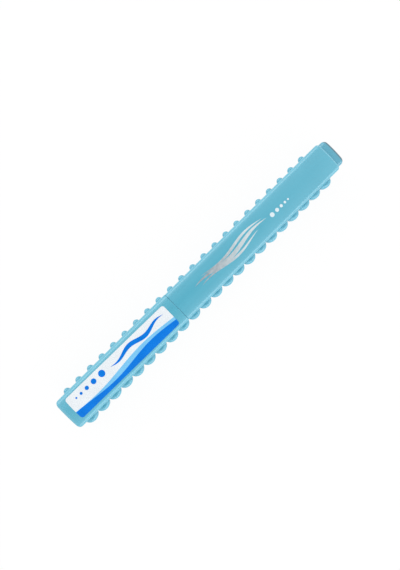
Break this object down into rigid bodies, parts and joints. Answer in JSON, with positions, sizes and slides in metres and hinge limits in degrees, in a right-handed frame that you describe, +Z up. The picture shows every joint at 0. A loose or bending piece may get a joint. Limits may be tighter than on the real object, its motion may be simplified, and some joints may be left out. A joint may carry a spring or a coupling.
{
  "type": "brush marker",
  "caption": "Brush marker with a rounded square body, knobs along one side and wide lobes along the other so that markers nest side by side, and a pull-off cap over a fibre brush nib.",
  "frame": {"origin": "on the surface that the marker lies on, under the middle of its overall box", "axes": "+X along the marker from the tail to the cap, +Y to the side with the knobs, +Z up through the label"},
  "size_m": [0.1514, 0.0175, 0.0129],
  "materials": {
    "barrel_plastic": "satin light blue",
    "cap_plastic": "satin light blue, as the barrel",
    "plug_plastic": "satin blue, a little darker than the cap",
    "label_film": "printed film sticker",
    "holder_plastic": "white",
    "inner_plastic": "milky white",
    "nib_fibre": "dense fibre soaked with ink",
    "ink_fibre": "fibre bundle soaked with ink",
    "clear_film": "thin film"
  },
  "bodies": {
    "barrel_body": {"barrel": "barrel_plastic", "tail_plug": "barrel_plastic", "ink_reservoir": "ink_fibre", "reservoir_wrap": "clear_film", "nib_holder": "holder_plastic", "brush_nib": "nib_fibre", "barrel_label": "label_film"},
    "cap_body": {"cap_shell": "cap_plastic", "inner_cap": "inner_plastic", "cap_plug": "plug_plastic"}
  },
  "joints": [
    {"name": "cap_pull", "type": "slide", "parent": "barrel_body", "child": "cap_body", "axis": [1, 0, 0], "range_m": [0, 0.07]}
  ]
}
